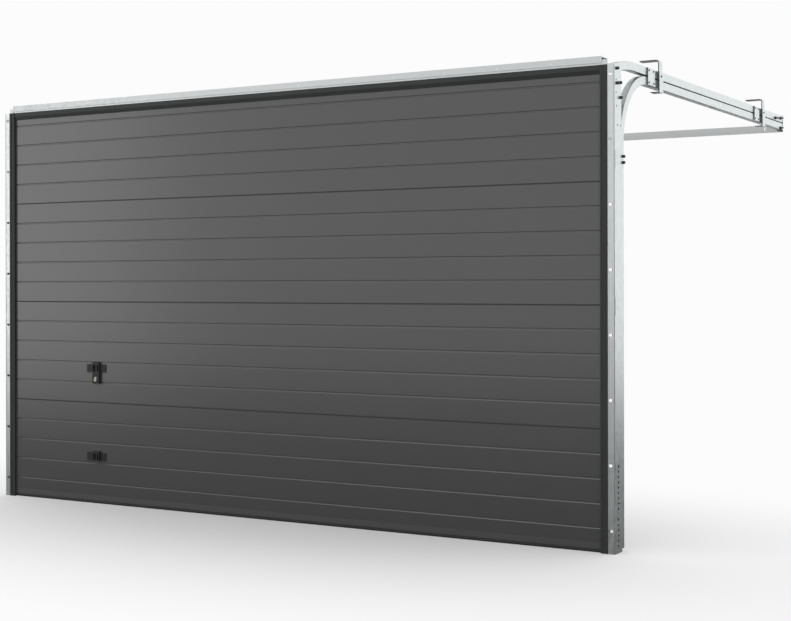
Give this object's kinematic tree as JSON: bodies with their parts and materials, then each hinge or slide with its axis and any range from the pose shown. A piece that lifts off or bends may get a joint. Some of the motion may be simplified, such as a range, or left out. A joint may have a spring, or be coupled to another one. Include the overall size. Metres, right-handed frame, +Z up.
{
  "type": "electric sectional garage door",
  "caption": "Ribbed sectional curtain in a galvanised frame with bent double tracks, side springs, a lock handle and a ceiling drive with its door arm.",
  "frame": {"origin": "middle of the lintel's wall face, on the door's centre line; the floor is 1991 mm below it", "axes": "+X to the right seen from the street, +Y into the garage, +Z up"},
  "size_m": [3.368, 3.087, 2.0515],
  "materials": {
    "panel_paint": "satin, fine stucco",
    "galvanised": "galvanised, spangled",
    "seal_rubber": "matt, extruded",
    "zinc_plated": "bright zinc, pressed",
    "roller_nylon": "moulded",
    "handle_plastic": "fine moulded texture",
    "lock_metal": "satin nickel",
    "spring_steel": "oiled spring wire",
    "cable_steel": "stranded wire",
    "drive_shell": "fine moulded texture"
  },
  "bodies": {
    "root": {"post_right": "galvanised", "post_left": "galvanised", "side_seal_right": "seal_rubber", "side_seal_left": "seal_rubber", "lintel": "galvanised", "corner_plates": "galvanised", "top_seal": "seal_rubber", "vertical_track_right": "galvanised", "vertical_track_left": "galvanised", "track_bend_right": "galvanised", "track_bend_left": "galvanised", "lower_rail_right": "galvanised", "lower_rail_left": "galvanised", "upper_rail_right": "galvanised", "upper_rail_left": "galvanised", "track_brackets": "zinc_plated", "splice_plates": "galvanised", "rail_hangers": "zinc_plated", "rear_cross_bar": "galvanised", "rail_end_plates": "zinc_plated", "end_caps": "galvanised", "bottom_shoe": "panel_paint", "floor_seal": "seal_rubber", "side_hinges": "zinc_plated", "centre_hinges": "zinc_plated", "bottom_brackets": "zinc_plated", "top_roller_carriers": "zinc_plated", "rollers": "roller_nylon", "springs": "spring_steel", "pulleys": "zinc_plated", "pulley_brackets": "zinc_plated", "lift_cables": "cable_steel", "outer_handle": "handle_plastic", "lock_cylinder": "lock_metal", "lower_grip": "handle_plastic", "inner_latch": "zinc_plated", "drive_boom": "galvanised", "boom_straps": "zinc_plated", "drive_head": "drive_shell", "trolley": "handle_plastic", "door_arm": "zinc_plated", "arm_bracket": "zinc_plated", "panel_1": "panel_paint", "panel_2": "panel_paint", "panel_3": "panel_paint", "panel_4": "panel_paint"}
  },
  "joints": []
}
